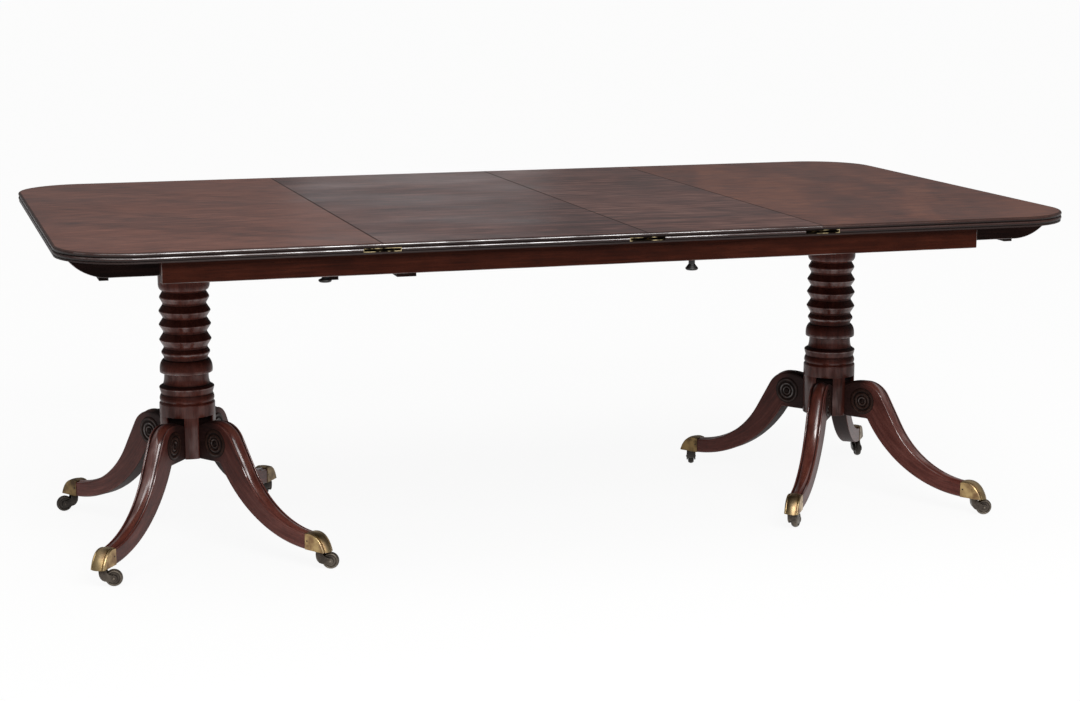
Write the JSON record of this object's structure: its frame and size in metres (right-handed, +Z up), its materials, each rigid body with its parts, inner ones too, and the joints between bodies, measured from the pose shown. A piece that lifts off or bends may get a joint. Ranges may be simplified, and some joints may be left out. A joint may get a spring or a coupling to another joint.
{
  "type": "double pedestal dining table",
  "caption": "Long mahogany dining table with loose leaves on ring-turned pedestals with reeded sabre legs, brass toe caps and swivel castors.",
  "frame": {"origin": "on the floor, under the middle of the closed table top", "axes": "+X along the length of the top from the left to the right end, +Y from the pictured front to the back, +Z up"},
  "size_m": [2.124, 1.22, 0.717],
  "materials": {
    "end_top_mahogany": "polished",
    "leaf_mahogany": "polished",
    "rail_mahogany": "satin",
    "bearer_mahogany": "satin",
    "pedestal_mahogany": "polished",
    "brass": "aged",
    "castor_bronze": "dark patina",
    "ebonised_wood": "satin"
  },
  "bodies": {
    "left_section": {"left_top": "end_top_mahogany", "left_top_clip_sockets": "brass", "left_column": "pedestal_mahogany", "left_pillar_block": "bearer_mahogany", "left_bearer_front": "bearer_mahogany", "left_bearer_back": "bearer_mahogany", "left_batten_inner": "bearer_mahogany", "left_batten_outer": "bearer_mahogany", "left_front_outer_leg": "pedestal_mahogany", "left_front_outer_cap": "brass", "left_front_inner_leg": "pedestal_mahogany", "left_front_inner_cap": "brass", "left_back_outer_leg": "pedestal_mahogany", "left_back_outer_cap": "brass", "left_back_inner_leg": "pedestal_mahogany", "left_back_inner_cap": "brass", "rail_front": "rail_mahogany", "rail_back": "rail_mahogany"},
    "right_section": {"right_top": "end_top_mahogany", "right_top_clip_sockets": "brass", "right_column": "pedestal_mahogany", "right_pillar_block": "bearer_mahogany", "right_bearer_front": "bearer_mahogany", "right_bearer_back": "bearer_mahogany", "right_batten_inner": "bearer_mahogany", "right_batten_outer": "bearer_mahogany", "right_front_inner_leg": "pedestal_mahogany", "right_front_inner_cap": "brass", "right_front_outer_leg": "pedestal_mahogany", "right_front_outer_cap": "brass", "right_back_inner_leg": "pedestal_mahogany", "right_back_inner_cap": "brass", "right_back_outer_leg": "pedestal_mahogany", "right_back_outer_cap": "brass"},
    "wide_leaf": {"wide_leaf": "leaf_mahogany", "wide_leaf_clip_sockets": "brass", "wide_leaf_blocks": "bearer_mahogany"},
    "narrow_leaf": {"narrow_leaf": "leaf_mahogany", "narrow_leaf_clip_sockets": "brass"},
    "knob_end_front": {"knob_end_front": "ebonised_wood"},
    "knob_end_back": {"knob_end_back": "ebonised_wood"},
    "knob_leaf_front": {"knob_leaf_front": "ebonised_wood"},
    "knob_leaf_back": {"knob_leaf_back": "ebonised_wood"},
    "left_front_outer_castor": {"left_front_outer_castor": "castor_bronze"},
    "left_front_outer_wheel": {"left_front_outer_wheel": "castor_bronze"},
    "left_front_inner_castor": {"left_front_inner_castor": "castor_bronze"},
    "left_front_inner_wheel": {"left_front_inner_wheel": "castor_bronze"},
    "left_back_outer_castor": {"left_back_outer_castor": "castor_bronze"},
    "left_back_outer_wheel": {"left_back_outer_wheel": "castor_bronze"},
    "left_back_inner_castor": {"left_back_inner_castor": "castor_bronze"},
    "left_back_inner_wheel": {"left_back_inner_wheel": "castor_bronze"},
    "right_front_inner_castor": {"right_front_inner_castor": "castor_bronze"},
    "right_front_inner_wheel": {"right_front_inner_wheel": "castor_bronze"},
    "right_front_outer_castor": {"right_front_outer_castor": "castor_bronze"},
    "right_front_outer_wheel": {"right_front_outer_wheel": "castor_bronze"},
    "right_back_inner_castor": {"right_back_inner_castor": "castor_bronze"},
    "right_back_inner_wheel": {"right_back_inner_wheel": "castor_bronze"},
    "right_back_outer_castor": {"right_back_outer_castor": "castor_bronze"},
    "right_back_outer_wheel": {"right_back_outer_wheel": "castor_bronze"}
  },
  "joints": [
    {"name": "right_section_draw", "type": "slide", "parent": "left_section", "child": "right_section", "axis": [1, 0, 0], "range_m": [0, 0.25]},
    {"name": "wide_leaf_lift", "type": "slide", "parent": "left_section", "child": "wide_leaf", "axis": [0, 0, 1], "range_m": [0, 0.3]},
    {"name": "narrow_leaf_lift", "type": "slide", "parent": "left_section", "child": "narrow_leaf", "axis": [0, 0, 1], "range_m": [0, 0.3]},
    {"name": "knob_end_front_turn", "type": "hinge", "parent": "left_section", "child": "knob_end_front", "pos_m": [-0.562, -0.576, 0.676], "axis": [0, 0, 1], "continuous": true},
    {"name": "knob_end_back_turn", "type": "hinge", "parent": "left_section", "child": "knob_end_back", "pos_m": [-0.562, 0.576, 0.676], "axis": [0, 0, 1], "continuous": true},
    {"name": "knob_leaf_front_turn", "type": "hinge", "parent": "left_section", "child": "knob_leaf_front", "pos_m": [0.186, -0.576, 0.676], "axis": [0, 0, 1], "continuous": true},
    {"name": "knob_leaf_back_turn", "type": "hinge", "parent": "left_section", "child": "knob_leaf_back", "pos_m": [0.186, 0.576, 0.676], "axis": [0, 0, 1], "continuous": true},
    {"name": "left_front_outer_swivel", "type": "hinge", "parent": "left_section", "child": "left_front_outer_castor", "pos_m": [-0.97655, -0.31783, 0.05], "axis": [0, 0, 1], "continuous": true},
    {"name": "left_front_outer_roll", "type": "hinge", "parent": "left_front_outer_castor", "child": "left_front_outer_wheel", "pos_m": [-0.95503, -0.3224, 0.018], "axis": [0.2079, 0.9781, 0], "continuous": true},
    {"name": "left_front_inner_swivel", "type": "hinge", "parent": "left_section", "child": "left_front_inner_castor", "pos_m": [-0.53145, -0.31783, 0.05], "axis": [0, 0, 1], "continuous": true},
    {"name": "left_front_inner_roll", "type": "hinge", "parent": "left_front_inner_castor", "child": "left_front_inner_wheel", "pos_m": [-0.51078, -0.32536, 0.018], "axis": [0.342, 0.9397, 0], "continuous": true},
    {"name": "left_back_outer_swivel", "type": "hinge", "parent": "left_section", "child": "left_back_outer_castor", "pos_m": [-0.97655, 0.31783, 0.05], "axis": [0, 0, 1], "continuous": true},
    {"name": "left_back_outer_roll", "type": "hinge", "parent": "left_back_outer_castor", "child": "left_back_outer_wheel", "pos_m": [-0.99833, 0.31477, 0.018], "axis": [0.1392, -0.9903, 0], "continuous": true},
    {"name": "left_back_inner_swivel", "type": "hinge", "parent": "left_section", "child": "left_back_inner_castor", "pos_m": [-0.53145, 0.31783, 0.05], "axis": [0, 0, 1], "continuous": true},
    {"name": "left_back_inner_roll", "type": "hinge", "parent": "left_back_inner_castor", "child": "left_back_inner_wheel", "pos_m": [-0.53337, 0.33975, 0.018], "axis": [-0.9962, -0.0872, 0], "continuous": true},
    {"name": "right_front_inner_swivel", "type": "hinge", "parent": "right_section", "child": "right_front_inner_castor", "pos_m": [0.53145, -0.31783, 0.05], "axis": [0, 0, 1], "continuous": true},
    {"name": "right_front_inner_roll", "type": "hinge", "parent": "right_front_inner_castor", "child": "right_front_inner_wheel", "pos_m": [0.54559, -0.30098, 0.018], "axis": [-0.766, 0.6428, 0], "continuous": true},
    {"name": "right_front_outer_swivel", "type": "hinge", "parent": "right_section", "child": "right_front_outer_castor", "pos_m": [0.97655, -0.31783, 0.05], "axis": [0, 0, 1], "continuous": true},
    {"name": "right_front_outer_roll", "type": "hinge", "parent": "right_front_outer_castor", "child": "right_front_outer_wheel", "pos_m": [0.9978, -0.32353, 0.018], "axis": [0.2588, 0.9659, 0], "continuous": true},
    {"name": "right_back_inner_swivel", "type": "hinge", "parent": "right_section", "child": "right_back_inner_castor", "pos_m": [0.53145, 0.31783, 0.05], "axis": [0, 0, 1], "continuous": true},
    {"name": "right_back_inner_roll", "type": "hinge", "parent": "right_back_inner_castor", "child": "right_back_inner_wheel", "pos_m": [0.53898, 0.3385, 0.018], "axis": [-0.9397, 0.342, 0], "continuous": true},
    {"name": "right_back_outer_swivel", "type": "hinge", "parent": "right_section", "child": "right_back_outer_castor", "pos_m": [0.97655, 0.31783, 0.05], "axis": [0, 0, 1], "continuous": true},
    {"name": "right_back_outer_roll", "type": "hinge", "parent": "right_back_outer_castor", "child": "right_back_outer_wheel", "pos_m": [0.97197, 0.29631, 0.018], "axis": [0.9781, -0.2079, 0], "continuous": true}
  ]
}
